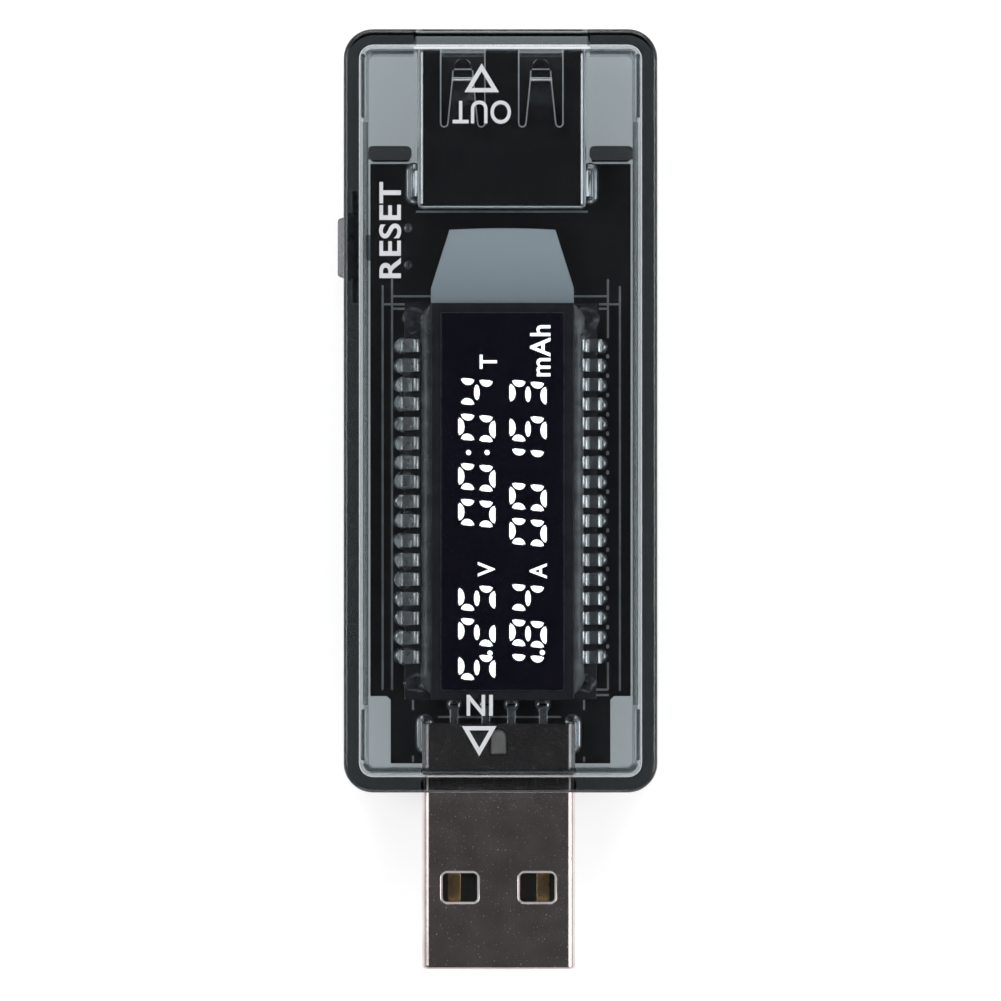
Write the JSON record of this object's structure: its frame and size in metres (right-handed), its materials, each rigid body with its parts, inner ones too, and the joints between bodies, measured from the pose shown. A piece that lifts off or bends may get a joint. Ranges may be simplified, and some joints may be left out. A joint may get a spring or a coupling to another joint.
{
  "type": "usb power meter",
  "caption": "Stick-shaped meter with a USB-A plug, a USB-A socket, a segment display and a reset button in a clear smoke-tinted case.",
  "frame": {"origin": "centre of the case's flat back face", "axes": "+Y along the stick towards the socket end, +Z out of the display face, +X to the right seen from the front"},
  "size_m": [0.025, 0.0735, 0.012],
  "materials": {
    "smoke_plastic": "clear smoke-tinted plastic, polished",
    "button_plastic": "translucent grey plastic, satin",
    "board": "black solder mask over glass-epoxy laminate",
    "nickel": "nickel plate, satin",
    "dark_nickel": "nickel plate, dull",
    "gold": "gold flash over nickel",
    "black_plastic": "moulded black plastic",
    "white_plastic": "moulded white plastic",
    "display_glass": "display glass",
    "polarizer": "polarizing film, near black",
    "tin": "tinned bronze",
    "glue": "clear cured glue",
    "ceramic": "fired ceramic with tinned ends",
    "white_ink": "printed white ink",
    "lit_segments": "display segments lit white"
  },
  "bodies": {
    "case": {"front_cover": "smoke_plastic", "rear_cover": "smoke_plastic", "switch_housing": "black_plastic", "switch_frame": "nickel", "switch_dome": "nickel", "switch_terminal_1": "tin", "switch_terminal_2": "tin", "circuit_board": "board", "plug_shell": "nickel", "plug_insulator": "black_plastic", "socket_shell": "dark_nickel", "socket_insulator": "black_plastic", "lcd_front_polarizer": "polarizer", "lcd_front_glass": "display_glass", "lcd_rear_glass": "display_glass", "lcd_rear_polarizer": "polarizer", "light_guide": "white_plastic", "backlight_lamp": "white_plastic", "display_pins_left": "tin", "display_pins_right": "tin", "glue_bead_left": "glue", "glue_bead_right": "glue", "microcontroller": "black_plastic", "memory_chip": "black_plastic", "voltage_regulator": "black_plastic", "sense_resistor": "black_plastic", "plug_contact_1": "gold", "socket_contact_1": "gold", "capacitor_1": "ceramic", "resistor_1": "black_plastic", "plug_contact_2": "gold", "socket_contact_2": "gold", "capacitor_2": "ceramic", "resistor_2": "black_plastic", "plug_contact_3": "gold", "socket_contact_3": "gold", "capacitor_3": "ceramic", "resistor_3": "black_plastic", "plug_contact_4": "gold", "socket_contact_4": "gold", "capacitor_4": "ceramic", "resistor_4": "black_plastic"},
    "button": {"reset_button": "button_plastic"},
    "plunger": {"switch_plunger": "white_plastic"}
  },
  "joints": [
    {"name": "reset_button_press", "type": "slide", "parent": "case", "child": "button", "axis": [1, 0, 0], "range_m": [0, 0.0003], "stiffness_N_per_m": 4000},
    {"name": "switch_plunger_press", "type": "slide", "parent": "case", "child": "plunger", "axis": [1, 0, 0], "range_m": [0, 0.0003]}
  ],
  "couplings": [
    {"joint": "switch_plunger_press", "follows": "reset_button_press", "ratio": 1}
  ]
}
